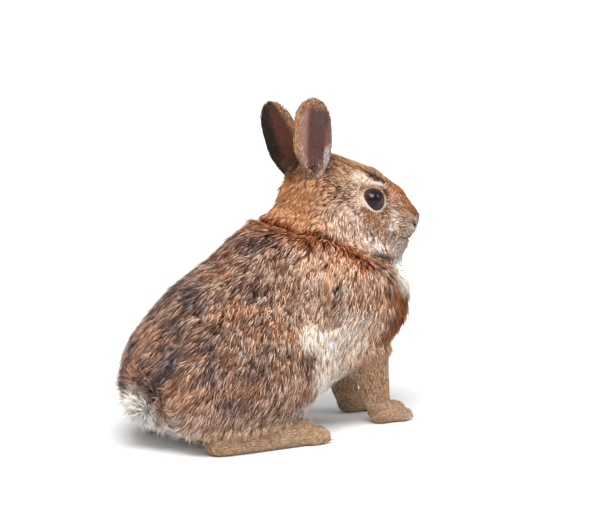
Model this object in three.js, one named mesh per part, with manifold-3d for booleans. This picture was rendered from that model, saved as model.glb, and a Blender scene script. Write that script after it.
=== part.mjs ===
// A cottontail rabbit sitting up on its haunches, at life size, as a museum shows one.
// Millimetres. +X is the way the body faces, +Y its left side, +Z up, and the feet stand on z = 0.
// The flesh is one smooth form, a blend of ellipsoids and tapered bones. Each part of the body wraps a
// ball onto that form and is parted from its neighbours by thin cuts. Ears, eyes, claws and the tail's
// locks are set on it.
import * as THREE from "three";
import { mergeVertices } from "three/addons/utils/BufferGeometryUtils.js";
import Module from "manifold-3d";

const wasm = await Module();
wasm.setup();

const GAP = 0.3; // clear space between neighbouring parts
const SIDES = { right: -1, left: 1 };
const v3 = (x, y, z) => new THREE.Vector3(x, y, z);
const degrees = THREE.MathUtils.degToRad;
const { lerp, smoothstep } = THREE.MathUtils;

// ---- driving sizes ----
const HEAD = { centre: v3(76, -4, 159), yaw: -13, pitch: 20, roll: -8 };
const EYE = { x: 5.7, y: 12.8, z: 1.4, radius: 9.2, opening: 7.9, lid: 1.5 };
const EAR = { length: 75, halfArc: 16.4, thickness: 2.2, twist: 42, rootX: -36.5, rootY: 10, rootZ: -10 };
const ELBOW = { x: 72, y: 23, z: 60, radius: 15 };
const WRIST = { x: 84, y: 20, z: 13, radius: 8.5 };
const HIND_FOOT = { heelX: -74, toeX: 20, y: 45, radius: 11 };
const FORE_FOOT = { x: 92, y: 20, radius: 8.5 };
const TAIL = { centre: v3(-98, 0, 31), core: v3(13, 9, 9), lock: 15, width: 10, rings: 4 };

// ---- forms: functions that give a point's distance from a surface, negative inside ----
const ellipsoid = (x, y, z, rx, ry, rz, pitch = 0) => {
  const cos = Math.cos(degrees(pitch));
  const sin = Math.sin(degrees(pitch));
  return (p) => {
    const dx = p.x - x;
    const dz = p.z - z;
    const a = (dx * cos - dz * sin) / rx;
    const b = (p.y - y) / ry;
    const c = (dx * sin + dz * cos) / rz;
    const reach = Math.hypot(a, b, c);
    const slope = Math.hypot(a / rx, b / ry, c / rz);
    return slope ? (reach * (reach - 1)) / slope : -Math.min(rx, ry, rz);
  };
};

// A bone is a straight run between two balls, each with its own radius.
const bone = (from, fromRadius, to, toRadius) => {
  const axis = to.clone().sub(from);
  const length = axis.length();
  axis.normalize();
  return (p) => {
    const offset = p.clone().sub(from);
    const along = THREE.MathUtils.clamp(offset.dot(axis), 0, length);
    const away = offset.addScaledVector(axis, -along).length();
    return away - lerp(fromRadius, toRadius, along / length);
  };
};

// A chain is a run of bones from ball to ball, given as [centre, radius] pairs.
const chain = (...balls) => {
  const links = balls.slice(1).map(([to, toRadius], i) => bone(...balls[i], to, toRadius));
  return (p) => Math.min(...links.map((link) => link(p)));
};

// Forms melt into each other over a fillet of about the given width.
const melt = (width, ...forms) => (p) =>
  forms
    .map((form) => form(p))
    .reduce((a, b) => {
      const overlap = Math.max(width - Math.abs(a - b), 0) / width;
      return Math.min(a, b) - (overlap * overlap * width) / 4;
    });

const within = (form, ...bounds) => (p) => Math.max(form(p), ...bounds.map((bound) => bound(p)));
const grown = (form, by) => (p) => form(p) - by;
const behind = ({ point, normal }, by = 0) => (p) => p.clone().sub(point).dot(normal) - by;
const ahead = ({ point, normal }, by = 0) => (p) => p.clone().sub(point).dot(normal) * -1 - by;
const narrowed = (form, share) => (p) => form(v3(p.x, p.y * share, p.z));

const mirrored = (make) => Object.values(SIDES).map((side) => make(side));
const placed = (form, matrix) => {
  const inverse = matrix.clone().invert();
  return (p) => form(p.clone().applyMatrix4(inverse));
};

// ---- wrapping a ball onto a form ----
const distanceOut = (form, start, direction) => {
  let out = 0;
  let step = -form(start);
  while (step > 0) {
    out += Math.max(step * 0.7, 0.05);
    step = -form(start.clone().addScaledVector(direction, out));
  }
  let [inside, outside] = [Math.max(out - 3, 0), out];
  for (let i = 0; i < 12; i += 1) {
    const middle = (inside + outside) / 2;
    if (form(start.clone().addScaledVector(direction, middle)) < 0) inside = middle;
    else outside = middle;
  }
  return outside;
};
const onSkin = (form, start, direction) => {
  const unit = direction.clone().normalize();
  return start.clone().addScaledVector(unit, distanceOut(form, start, unit));
};

// Moves a point straight back to the form's surface, along the way the distance grows fastest.
const drawnOnto = (form, p) => {
  const here = form(p);
  const slope = v3(
    form(v3(p.x + 0.1, p.y, p.z)) - here,
    form(v3(p.x, p.y + 0.1, p.z)) - here,
    form(v3(p.x, p.y, p.z + 0.1)) - here,
  ).multiplyScalar(10);
  const steep = Math.max(slope.lengthSq(), 0.2);
  return p.clone().addScaledVector(slope, -THREE.MathUtils.clamp(here, -4, 4) / steep);
};

// Every point of a ball goes out from its place on the spine, a line inside the form, to the form's
// surface or to a bound. Then, in turns, each point of the surface moves level with its neighbours and
// back onto it, so the faces come out even.
const ROUNDS = 7;
const wrap = (form, spineFrom, spineTo, detail, ...bounds) => {
  const whole = within(form, ...bounds);
  const ball = mergeVertices(
    new THREE.IcosahedronGeometry(1, detail).deleteAttribute("normal").deleteAttribute("uv"),
    1e-4,
  );
  const places = ball.getAttribute("position");
  const spine = spineTo.clone().sub(spineFrom);
  const spineWay = spine.clone().normalize();
  let points = Array.from({ length: places.count }, (_, i) => {
    const direction = new THREE.Vector3().fromBufferAttribute(places, i).normalize();
    const start = spineFrom.clone().addScaledVector(spine, (direction.dot(spineWay) + 1) / 2);
    return onSkin(whole, start, direction);
  });
  const held = points.map((point) => bounds.some((bound) => bound(point) > -1));
  const neighbours = points.map(() => new Set());
  const corners = ball.index.array;
  for (let i = 0; i < corners.length; i += 3) {
    const [a, b, c] = corners.slice(i, i + 3);
    neighbours[a].add(b).add(c);
    neighbours[b].add(c).add(a);
    neighbours[c].add(a).add(b);
  }
  for (let round = 0; round < ROUNDS; round += 1) {
    const level = points.map((point, i) => {
      const middle = v3(0, 0, 0);
      neighbours[i].forEach((j) => middle.add(points[j]));
      return middle.divideScalar(neighbours[i].size).lerp(point, 0.3);
    });
    points = level.map((point, i) => (held[i] ? points[i] : drawnOnto(form, drawnOnto(form, point))));
  }
  points.forEach((point, i) => places.setXYZ(i, ...point));
  return ball;
};

// ---- solids: joining and cutting ----
const solid = (geometry, matrix = new THREE.Matrix4()) => {
  const bare = new THREE.BufferGeometry();
  bare.setAttribute("position", geometry.getAttribute("position").clone());
  bare.setIndex(geometry.index);
  bare.applyMatrix4(matrix);
  const merged = mergeVertices(bare, 1e-4);
  return new wasm.Manifold(
    new wasm.Mesh({
      numProp: 3,
      vertProperties: merged.getAttribute("position").array,
      triVerts: new Uint32Array(merged.index.array),
    }),
  );
};
const largest = (whole) => whole.decompose().reduce((a, b) => (a.volume() > b.volume() ? a : b));
const geometryOf = (body) => {
  const { vertProperties, triVerts } = largest(body).getMesh();
  const geometry = new THREE.BufferGeometry();
  geometry.setAttribute("position", new THREE.BufferAttribute(vertProperties, 3));
  geometry.setIndex(new THREE.BufferAttribute(triVerts, 1));
  return geometry;
};
const joined = (first, ...rest) => rest.reduce((a, b) => a.add(b), first);

// The solid of all that lies past a plane, on the side its normal points to.
const WORLD = 600;
const past = (point, normal) => {
  const turn = new THREE.Quaternion().setFromUnitVectors(v3(0, 0, 1), normal.clone().normalize());
  const centre = point.clone().addScaledVector(normal.clone().normalize(), WORLD / 2);
  return solid(
    new THREE.BoxGeometry(WORLD, WORLD, WORLD),
    new THREE.Matrix4().compose(centre, turn, v3(1, 1, 1)),
  );
};
const ball = (centre, radii, turn = new THREE.Quaternion(), detail = 4) =>
  solid(
    new THREE.IcosahedronGeometry(1, detail),
    new THREE.Matrix4().compose(centre, turn, radii),
  );

const materials = {
  coat: new THREE.MeshStandardMaterial({ color: 0x987360, roughness: 0.9, metalness: 0 }),
  nape: new THREE.MeshStandardMaterial({ color: 0xa96643, roughness: 0.9, metalness: 0 }),
  face: new THREE.MeshStandardMaterial({ color: 0xb58a6c, roughness: 0.9, metalness: 0 }),
  leg: new THREE.MeshStandardMaterial({ color: 0xb98f6f, roughness: 0.9, metalness: 0 }),
  ear: new THREE.MeshStandardMaterial({ color: 0x98726a, roughness: 0.7, metalness: 0 }),
  eye: new THREE.MeshStandardMaterial({ color: 0x1c1412, roughness: 0.05, metalness: 0 }),
  tail: new THREE.MeshStandardMaterial({ color: 0xf3eee9, roughness: 0.95, metalness: 0 }),
};
const part = (name, body, material) => {
  const mesh = new THREE.Mesh(geometryOf(body), material);
  mesh.name = name;
  return mesh;
};

// ---- the head's own frame: X runs to the nose, and its parts are children of this group ----
const headGroup = new THREE.Group();
headGroup.position.copy(HEAD.centre);
headGroup.rotation.set(degrees(HEAD.roll), degrees(HEAD.pitch), degrees(HEAD.yaw), "ZYX");
headGroup.updateMatrix();
const headMatrix = headGroup.matrix;
const toHead = headMatrix.clone().invert();

const roof = [
  [v3(-22, 0, 2), 23.5],
  [v3(4, 0, 4.5), 19.6],
  [v3(23, 0, 2), 16],
  [v3(38.5, 0, -2), 11],
];
const skullForm = melt(
  2.5,
  melt(
    8,
    narrowed(chain(...roof), 1.16), // crown, brow and bridge of the nose
    bone(v3(-20, 0, -9), 20, v3(28, 0, -13), 13), // jaw
    ...mirrored((side) => ellipsoid(-18, side * 8, -12, 25, 15, 18)), // cheeks
    ...mirrored((side) => bone(v3(-8, side * 9, -10), 12, v3(28, side * 4.5, -11), 9.5)), // cheek to muzzle
    ...mirrored((side) => ellipsoid(34, side * 5.5, -8, 11, 8, 9)), // whisker pads
    ...mirrored((side) => ellipsoid(-38, side * 11, 0, 13, 11, 12)), // root of each ear
    ellipsoid(35.5, 0, -19.5, 10, 8.5, 9.5), // chin
  ),
  ellipsoid(43.5, 0, -1.8, 6.5, 5.2, 5.7), // tip of the nose
  ...mirrored((side) => ellipsoid(41.5, side * 3.6, -9.5, 6.5, 4.6, 5)), // upper lip
);

// ---- the body's flesh ----
const torsoForm = melt(
  22,
  ellipsoid(-62, 0, 49, 42, 44, 43),
  ellipsoid(-34, 0, 75, 47, 43, 47, -30),
  ellipsoid(13, 0, 98, 50, 42, 53, -30),
  ellipsoid(71, 0, 90.5, 44.5, 36, 47),
  ellipsoid(0, 0, 50, 64, 38, 36),
);
const neckForm = bone(v3(36, 0, 116), 32, v3(43, 3, 152), 24.5);
const haunchForm = (side) => ellipsoid(-33, side * 36, 47, 56, 25, 42, -14);
const shoulderForm = (side) => ellipsoid(56, side * 22, 84, 26, 17, 36, 10);
const shinForm = (side) =>
  bone(
    v3(ELBOW.x, side * ELBOW.y, ELBOW.z),
    ELBOW.radius,
    v3(WRIST.x, side * WRIST.y, WRIST.z),
    WRIST.radius,
  );
const trunkForm = melt(
  14,
  melt(24, torsoForm, neckForm, ...mirrored(haunchForm), ...mirrored(shoulderForm)),
  placed(skullForm, headMatrix),
);

// ---- where the parts are parted: the head from the neck, and both from the body ----
const NAPE_CUT = {
  point: v3(-50, 0, 6).applyMatrix4(headMatrix),
  normal: v3(-0.72, 0, -0.69).transformDirection(headMatrix),
};
const NECK_CUT = { point: v3(55, 0, 127), normal: v3(0.43, 0, 0.9).normalize() };
const shifted = ({ point, normal }, distance) => ({
  point: point.clone().addScaledVector(normal, distance),
  normal,
});
const OVER = 10; // how far a part is wrapped past its cuts, before it is cut

// A thigh is parted along an oval rim, open to the outside.
const haunchRegion = (side, grow = 0) => {
  const inner = 22 - grow;
  const width = 80 + grow;
  return solid(
    new THREE.CylinderGeometry(1, 1, 1, 36),
    new THREE.Matrix4().compose(
      v3(-33, side * (inner + width / 2), 47),
      new THREE.Quaternion().setFromAxisAngle(v3(0, 1, 0), degrees(-14)),
      v3(56 + grow, width, 43 + grow),
    ),
  );
};
// A foreleg is parted by a sleeve round the elbow, with a flat top.
const forelegRegion = (side, grow = 0) => {
  const elbow = v3(ELBOW.x - 2, side * ELBOW.y, ELBOW.z);
  const wrist = v3(WRIST.x, side * WRIST.y, WRIST.z - 20);
  const run = elbow.clone().sub(wrist);
  const turn = new THREE.Quaternion().setFromUnitVectors(v3(0, 1, 0), run.clone().normalize());
  return solid(
    new THREE.CylinderGeometry(18.5 + grow, 16 + grow, run.length() + grow, 24),
    new THREE.Matrix4().compose(wrist.lerp(elbow, 0.5), turn, v3(1, 1, 1)),
  );
};

// ---- feet ----
const FLOOR = past(v3(0, 0, 0), v3(0, 0, -1));
const claw = (tip, length, radius) =>
  solid(
    new THREE.ConeGeometry(radius, length, 5),
    new THREE.Matrix4().compose(
      tip.clone().add(v3(-length / 2, 0, 0)),
      new THREE.Quaternion().setFromAxisAngle(v3(0, 0, 1), -Math.PI / 2),
      v3(1, 1, 1),
    ),
  );
const foot = (form, from, to, toes, detail) =>
  joined(
    solid(wrap(form, from, to, detail)),
    ...toes.map((toe) => ball(toe.centre, toe.radii, undefined, 1)),
    ...toes.map((toe) =>
      claw(toe.centre.clone().add(v3(toe.radii.x + toe.claw, 0, -toe.radii.z * 0.45)), 9, 1.7),
    ),
  ).subtract(FLOOR);

const hindFoot = (side, grow = 0) => {
  const y = side * HIND_FOOT.y;
  const heel = v3(HIND_FOOT.heelX + HIND_FOOT.radius, y - side * 3, HIND_FOOT.radius - 1.5);
  const toeRoot = v3(HIND_FOOT.toeX - 14, y, 8);
  const form = bone(heel, HIND_FOOT.radius + grow, toeRoot, 10 + grow);
  const toes = [-1.5, -0.5, 0.5, 1.5].map((place) => ({
    centre: v3(HIND_FOOT.toeX - 4 - Math.abs(place + 0.5 * side) * 2, y + place * 5.4, 5.4),
    radii: v3(11 + grow, 3.6 + grow, 5.8 + grow),
    claw: 3,
  }));
  return foot(form, heel, toeRoot, toes, 3);
};
const foreFoot = (side, grow = 0) => {
  const y = side * FORE_FOOT.y;
  const heel = v3(FORE_FOOT.x - 6, y, 8);
  const toeRoot = v3(FORE_FOOT.x + 6, y, 6.5);
  const form = bone(heel, FORE_FOOT.radius + 0.5 + grow, toeRoot, FORE_FOOT.radius - 0.5 + grow);
  const toes = [-1.5, -0.5, 0.5, 1.5].map((place) => ({
    centre: v3(FORE_FOOT.x + 12 - Math.abs(place) * 1.6, y + place * 4.2, 4.6),
    radii: v3(8 + grow, 2.9 + grow, 4.6 + grow),
    claw: 2,
  }));
  return foot(form, heel, toeRoot, toes, 2);
};

// ---- head ----
const fromHead = (form) => (p) => form(p.clone().applyMatrix4(headMatrix));
const wrappedHead = (grow) =>
  solid(
    wrap(
      grown(fromHead(trunkForm), grow),
      v3(-16, 0, -4),
      v3(22, 0, -6),
      9,
      fromHead(ahead(NECK_CUT, OVER)),
      fromHead(behind(NAPE_CUT, OVER)),
    ),
  );
const inHead = ({ point, normal }) => [
  point.clone().applyMatrix4(toHead),
  normal.clone().transformDirection(toHead),
];
const headGrown = wrappedHead(GAP);
const neckCut = shifted(NECK_CUT, GAP);
const napeCut = shifted(NAPE_CUT, GAP);
const wrappedNeck = (grow) =>
  solid(
    wrap(
      grown(trunkForm, grow),
      v3(34, 2, 142),
      v3(40, 3, 156),
      6,
      ahead(NECK_CUT, OVER),
      ahead(NAPE_CUT, OVER),
    ),
  );
const neckGrown = wrappedNeck(GAP).transform(toHead.elements);
let head = wrappedHead(0)
  .subtract(past(...inHead(NAPE_CUT)))
  .intersect(past(...inHead(shifted(NECK_CUT, GAP))));

// The mouth is a shallow groove round the muzzle, and the upper lip is split below the nose.
const groove = (starts, ways, width) => {
  const path = new THREE.CatmullRomCurve3(starts.map((start, i) => onSkin(skullForm, start, ways[i])));
  const profile = new THREE.Shape([
    new THREE.Vector2(width, 0),
    new THREE.Vector2(0, width),
    new THREE.Vector2(-width, 0),
    new THREE.Vector2(0, -width),
  ]);
  const steps = starts.length * 2;
  return solid(new THREE.ExtrudeGeometry(profile, { extrudePath: path, steps, bevelEnabled: false }));
};
const MOUTH_FAN = [-75, -50, -25, 0, 25, 50, 75];
const mouth = groove(
  MOUTH_FAN.map(() => v3(35, 0, -12)),
  MOUTH_FAN.map((turn) =>
    v3(Math.cos(degrees(turn)), Math.sin(degrees(turn)), -0.22 - Math.abs(turn) / 400),
  ),
  0.9,
);
const lipSplit = groove(
  [v3(38, 0, -4), v3(38, 0, -7), v3(38, 0, -10), v3(38, 0, -12)],
  [v3(1, 0, -0.1), v3(1, 0, -0.15), v3(1, 0, -0.2), v3(1, 0, -0.2)],
  0.8,
);
const nostrils = mirrored((side) =>
  ball(
    v3(48, side * 3.6, -1.8),
    v3(3.6, 1.3, 2.3),
    new THREE.Quaternion().setFromEuler(new THREE.Euler(degrees(side * 35), 0, degrees(side * 35))),
    1,
  ),
);
[mouth, lipSplit, ...nostrils].forEach((cut) => {
  head = head.subtract(cut);
});

const eyes = Object.entries(SIDES).map(([name, side]) => {
  const centre = v3(EYE.x, side * EYE.y, EYE.z);
  const facing = v3(0.06, side * 0.99, 0.12).normalize();
  const turn = new THREE.Quaternion().setFromUnitVectors(v3(0, 0, 1), facing);
  const lidPlace = centre.clone().addScaledVector(facing, EYE.radius - 4.4);
  const lid = solid(
    new THREE.TorusGeometry(EYE.opening + EYE.lid * 0.8, EYE.lid, 5, 16),
    new THREE.Matrix4().compose(lidPlace, turn, v3(1.05, 0.98, 1)),
  );
  const socket = ball(centre, v3(1, 1, 1).multiplyScalar(EYE.radius + GAP), undefined, 3);
  head = head.add(lid).subtract(socket);
  return part(
    `eye_${name}`,
    ball(centre, v3(1, 1, 1).multiplyScalar(EYE.radius), undefined, 3),
    materials.eye,
  );
});

// ---- ears: a cupped blade, rolled to a tube at its root and twisted so that the tube opens forwards ----
const earBlade = (side, { front, back, sweep }) => {
  const blade = new THREE.BoxGeometry(2, 1, 1, 12, 13, 1).deleteAttribute("normal").deleteAttribute("uv");
  const points = blade.getAttribute("position");
  for (let i = 0; i < points.count; i += 1) {
    const across = points.getX(i);
    const along = Math.min(1 - (0.5 - points.getY(i)) ** 1.25, 0.997);
    const outer = points.getZ(i) + 0.5;
    const open = smoothstep(along, 0.16, 0.53);
    const tip = Math.max((along - 0.42) / 0.58, 0);
    const halfArc = EAR.halfArc * lerp(1.1, 1, open);
    const reach = Math.sqrt(1 - tip ** (across > 0 ? back : front));
    const curl = degrees(lerp(172, 66, open) - 22 * tip);
    const thickness = EAR.thickness * lerp(1, 0.7, across ** 4) * lerp(1.1, 0.8, along);
    const middle = halfArc / curl;
    const radius = middle + thickness * (outer - 0.5);
    const angle = -across * reach * curl;
    const place = v3(
      middle * Math.cos(curl * 0.5) - radius * Math.cos(angle),
      radius * Math.sin(angle) + side * sweep * Math.max(along - 0.25, 0) ** 2,
      along * EAR.length,
    ).applyAxisAngle(v3(0, 0, 1), -side * degrees(EAR.twist) * (1 - open));
    points.setXYZ(i, ...place);
  }
  return blade;
};
const ear = (name, side, { lean, splay, turn, share, ...edges }) => {
  const stance = new THREE.Matrix4()
    .makeTranslation(EAR.rootX, side * EAR.rootY, EAR.rootZ)
    .multiply(new THREE.Matrix4().makeRotationX(degrees(-side * splay)))
    .multiply(new THREE.Matrix4().makeRotationY(degrees(-lean)))
    .multiply(new THREE.Matrix4().makeRotationZ(degrees(side * turn)))
    .scale(v3(1, 1, share));
  const canal = ball(v3(0, 0, 20), v3(5, 5, 15), undefined, 1).transform(stance.elements);
  head = head.subtract(canal);
  const blade = solid(earBlade(side, edges), stance).subtract(headGrown).subtract(neckGrown);
  return part(`ear_${name}`, blade, materials.ear);
};
const ears = [
  ear("right", SIDES.right, { lean: 21, splay: 14.5, turn: 110, share: 1, front: 2.8, back: 3.5, sweep: 0 }),
  ear("left", SIDES.left, { lean: 29, splay: 6, turn: 228, share: 0.945, front: 1.9, back: 2.4, sweep: -12 }),
];
headGroup.add(part("head", head, materials.face), ...eyes, ...ears);

// ---- tail: a core with rings of flat locks fused to it, pointing out and back ----
const random = (() => {
  let seed = 7;
  return () => {
    seed = (seed * 16807) % 2147483647;
    return seed / 2147483647;
  };
})();
// A lock is a flat, tapered tuft from its root along its way. Its flat side faces the given normal, and
// its tip droops.
const lock = (root, way, normal, length, width, droop) => {
  const outline = [
    [0, 0],
    [0.9, 0.25],
    [0.8, 0.7],
    [0, 1],
  ].map(([share, along]) => new THREE.Vector2((share * width) / 2, along * length));
  const tuft = new THREE.LatheGeometry(outline, 6);
  const across = way.clone().cross(normal).normalize();
  const points = tuft.getAttribute("position");
  for (let i = 0; i < points.count; i += 1) {
    const [x, y, z] = [points.getX(i), points.getY(i), points.getZ(i) * 0.36];
    const place = root
      .clone()
      .addScaledVector(across, x)
      .addScaledVector(way, y)
      .addScaledVector(normal, z)
      .add(v3(0, 0, -droop * (y / length) ** 2));
    points.setXYZ(i, ...place);
  }
  return solid(tuft);
};
let tail = ball(TAIL.centre, TAIL.core, undefined, 2);
for (let ring = 0; ring < TAIL.rings; ring += 1) {
  const lean = degrees(lerp(80, 5, ring / (TAIL.rings - 1))); // how far the ring's locks lean off the axis
  const count = Math.round(lerp(1, 11, Math.sin(lean)));
  for (let i = 0; i < count; i += 1) {
    const turn = ((i + (ring % 2) * 0.5 + random() * 0.3) / count) * Math.PI * 2;
    const around = v3(0, Math.cos(turn), Math.sin(turn));
    const out = v3(-Math.cos(lean), 0, 0).addScaledVector(around, Math.sin(lean));
    const root = TAIL.centre.clone().add(out.clone().multiply(TAIL.core).multiplyScalar(0.7));
    const way = out.clone().add(v3(-0.6, 0, 0)).normalize();
    const normal = around.clone().addScaledVector(way, -around.dot(way)).normalize();
    const length = TAIL.lock * (0.85 + random() * 0.3);
    tail = tail.add(lock(root, way, normal, length, TAIL.width * (0.85 + random() * 0.3), 2 + random()));
  }
}

// ---- body ----
const wrappedBody = (grow) =>
  solid(wrap(grown(trunkForm, grow), v3(-60, 0, 55), v3(60, 0, 92), 10, behind(NECK_CUT, OVER)));
let torso = wrappedBody(0).subtract(past(NECK_CUT.point, NECK_CUT.normal));

const neck = wrappedNeck(0)
  .intersect(past(neckCut.point, neckCut.normal))
  .intersect(past(napeCut.point, napeCut.normal));

// ---- limbs ----
const limbs = Object.entries(SIDES).flatMap(([name, side]) => {
  const thigh = solid(
    wrap(
      trunkForm,
      v3(-62, side * 36, 42),
      v3(-6, side * 36, 50),
      5,
      ellipsoid(-33, 0, 47, 56 + OVER, 900, 43 + OVER, -14),
      (p) => 14 - side * p.y,
    ),
  );
  const arm = solid(
    wrap(
      melt(8, trunkForm, shinForm(side)),
      v3(WRIST.x - 1, side * WRIST.y, WRIST.z + 2),
      v3(ELBOW.x, side * ELBOW.y, ELBOW.z - 4),
      4,
      bone(v3(ELBOW.x - 2, side * ELBOW.y, ELBOW.z), 26, v3(WRIST.x, side * WRIST.y, WRIST.z), 24),
    ),
  );
  torso = torso
    .subtract(haunchRegion(side, GAP))
    .subtract(forelegRegion(side, GAP))
    .subtract(hindFoot(side, GAP));
  const haunch = thigh.intersect(haunchRegion(side)).subtract(hindFoot(side, GAP));
  const foreleg = arm.intersect(forelegRegion(side)).subtract(foreFoot(side, GAP));
  return [
    part(`haunch_${name}`, haunch, materials.coat),
    part(`hind_foot_${name}`, hindFoot(side), materials.leg),
    part(`foreleg_${name}`, foreleg, materials.leg),
    part(`fore_foot_${name}`, foreFoot(side), materials.leg),
  ];
});

const rabbit = new THREE.Group();
rabbit.add(
  part("torso", torso.subtract(FLOOR), materials.coat),
  part("neck", neck, materials.nape),
  part("tail", tail.subtract(wrappedBody(GAP)), materials.tail),
  headGroup,
  ...limbs,
);

// The frame's origin is on the floor, below the middle of the whole animal.
const reach = new THREE.Box3().setFromObject(rabbit, true);
const middle = reach.getCenter(v3(0, 0, 0));
rabbit.position.set(-middle.x, -middle.y, 0);

export default rabbit;
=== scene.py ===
import itertools
import math

import bmesh
import bpy
import numpy as np
from mathutils import Matrix, Vector
from mathutils.kdtree import KDTree


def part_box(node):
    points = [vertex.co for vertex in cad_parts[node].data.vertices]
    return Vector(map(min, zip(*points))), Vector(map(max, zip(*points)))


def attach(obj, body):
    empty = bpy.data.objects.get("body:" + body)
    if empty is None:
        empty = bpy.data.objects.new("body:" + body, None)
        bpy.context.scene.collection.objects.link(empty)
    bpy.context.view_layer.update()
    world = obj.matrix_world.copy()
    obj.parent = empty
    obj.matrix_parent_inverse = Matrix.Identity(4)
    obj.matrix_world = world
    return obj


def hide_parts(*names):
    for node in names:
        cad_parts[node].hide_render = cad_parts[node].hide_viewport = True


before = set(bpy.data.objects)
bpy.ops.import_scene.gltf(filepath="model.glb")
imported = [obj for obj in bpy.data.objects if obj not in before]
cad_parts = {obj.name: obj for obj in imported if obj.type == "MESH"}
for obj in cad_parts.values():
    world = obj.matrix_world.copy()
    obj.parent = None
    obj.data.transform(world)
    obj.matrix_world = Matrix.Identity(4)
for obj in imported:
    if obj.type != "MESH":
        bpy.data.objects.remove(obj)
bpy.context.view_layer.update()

# ---- Head and ears: where they are ----
# The head is turned, nodded and tipped on the neck. Its own frame has X to the nose, Y to the left and Z up, in
# millimetres, from the middle of the skull. The body's frame is level, with X the way the body faces. Each ear
# stands in the head's frame on its root, leans back, splays out and is turned about its own length.
MM = 0.001
HEAD_TURN, HEAD_NOD, HEAD_TIP = (math.radians(a) for a in (-13, 20, -8))
HEAD_PLACE = np.array([76, -4, 159])
EYE_SEAT = np.array([5.7, 12.8, 1.4])
EYE_RADIUS = 9.2
SIDES = {"right": -1, "left": 1}
EAR_ROOT = (-36.5, 10, -10)
EAR_LENGTH, EAR_HALF_ARC, EAR_TWIST = 75, 16.4, math.radians(42)
EAR_STANCE = {"right": (21, 14.5, 110, 1.0), "left": (29, 6, 228, 0.945)}
EAR_EDGES = {"right": (2.8, 3.5, 0), "left": (1.9, 2.4, -12)}


def middle_of(node):
    low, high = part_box(node)
    return np.array((low + high) / 2) / MM


head_axes = np.array(
    Matrix.Rotation(HEAD_TURN, 3, "Z") @ Matrix.Rotation(HEAD_NOD, 3, "Y") @ Matrix.Rotation(HEAD_TIP, 3, "X")
)
eyes_middle = (middle_of("eye_right") + middle_of("eye_left")) / 2
head_origin = eyes_middle - head_axes @ (EYE_SEAT * (1, 0, 1))
body_origin = head_origin - HEAD_PLACE


def in_head(points):
    return (points - head_origin) @ head_axes


def from_head(points):
    return np.asarray(points) @ head_axes.T + head_origin


def eye_seat(side):
    return EYE_SEAT * (1, side, 1)


def eye_frame(side):
    """The eye's own directions in the head's frame: to its front corner, square to that, and out of the head."""
    facing = unit(np.array([0.06, side * 0.99, 0.12]))
    nose_way = np.array([1, 0, -0.25])
    nose_way = unit(nose_way - facing * np.dot(nose_way, facing))
    return nose_way, np.cross(facing, nose_way), facing


def smooth(start, end, value):
    t = np.clip((value - start) / (end - start), 0, 1)
    return t * t * (3 - 2 * t)


def unit(vectors):
    return vectors / np.maximum(np.linalg.norm(vectors, axis=-1, keepdims=True), 1e-9)


def ear_axes(name):
    side = SIDES[name]
    lean, splay, turn, share = EAR_STANCE[name]
    x, y, z = EAR_ROOT
    return np.array(
        Matrix.Translation((x, side * y, z))
        @ Matrix.Rotation(math.radians(-side * splay), 4, "X")
        @ Matrix.Rotation(math.radians(-lean), 4, "Y")
        @ Matrix.Rotation(math.radians(side * turn), 4, "Z")
        @ Matrix.Diagonal((1, 1, share, 1))
    )


def on_ear(name, head_points):
    """Where points are on an ear: along it from 0 to 1, across it from -1 to 1, and how far outside its middle."""
    local = np.c_[head_points, np.ones(len(head_points))] @ np.linalg.inv(ear_axes(name)).T
    front, back, sweep = EAR_EDGES[name]
    along = np.clip(local[:, 2] / EAR_LENGTH, 0, 1)
    opened = smooth(0.16, 0.53, along)
    tip = np.clip((along - 0.42) / 0.58, 0, 1)
    curl = np.radians(172 - 106 * opened - 22 * tip)
    radius = EAR_HALF_ARC * (1.1 - 0.1 * opened) / curl
    untwist = SIDES[name] * EAR_TWIST * (1 - opened)
    x = local[:, 0] * np.cos(untwist) - local[:, 1] * np.sin(untwist) - radius * np.cos(curl / 2)
    y = local[:, 0] * np.sin(untwist) + local[:, 1] * np.cos(untwist)
    y -= SIDES[name] * sweep * np.maximum(along - 0.25, 0) ** 2
    turned = np.arctan2(y, -x) / curl
    across = turned / np.sqrt(np.maximum(1 - tip ** np.where(turned < 0, back, front), 0.02))
    inside_of_cup = np.hypot(x, y) - radius
    near = (np.hypot(local[:, 0] - 6, local[:, 1]) < 24) & (local[:, 2] < EAR_LENGTH + 6)
    return along, across, inside_of_cup, smooth(0.2, 0.3, along) * near


# ---- Coat: colours, length and lie of the hair, zone by zone ----
# An eastern cottontail's hairs are banded, dark at the root, tan in the middle and many of them black at the
# tip, so the back looks grizzled. The nape is rusty, the eye ring, muzzle and throat are pale, and the belly,
# the chest's bib and the underside of the tail are white. Hair is shortest on the nose, feet and ears.
BASE, LIGHT, DARK = slice(0, 3), slice(3, 6), slice(6, 9)
DARK_SHARE, LIGHT_SHARE, LENGTH, WIDTH, LIFT, DENSITY = range(9, 15)
NECK_CREASE_POINT, NECK_CREASE_WAY = np.array([55, 0, 127]), unit(np.array([0.43, 0, 0.9]))
NOSE_TIP = np.array([58, 0, -2])
TAIL_MIDDLE = np.array([-98, 0, 31])
# How far each foot's middle lies to the side, how far apart its toes are, and how fast their ends fall back.
TOES = {"hind": (45, 5.4, 2), "fore": (20, 4.2, 1.6)}
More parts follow.
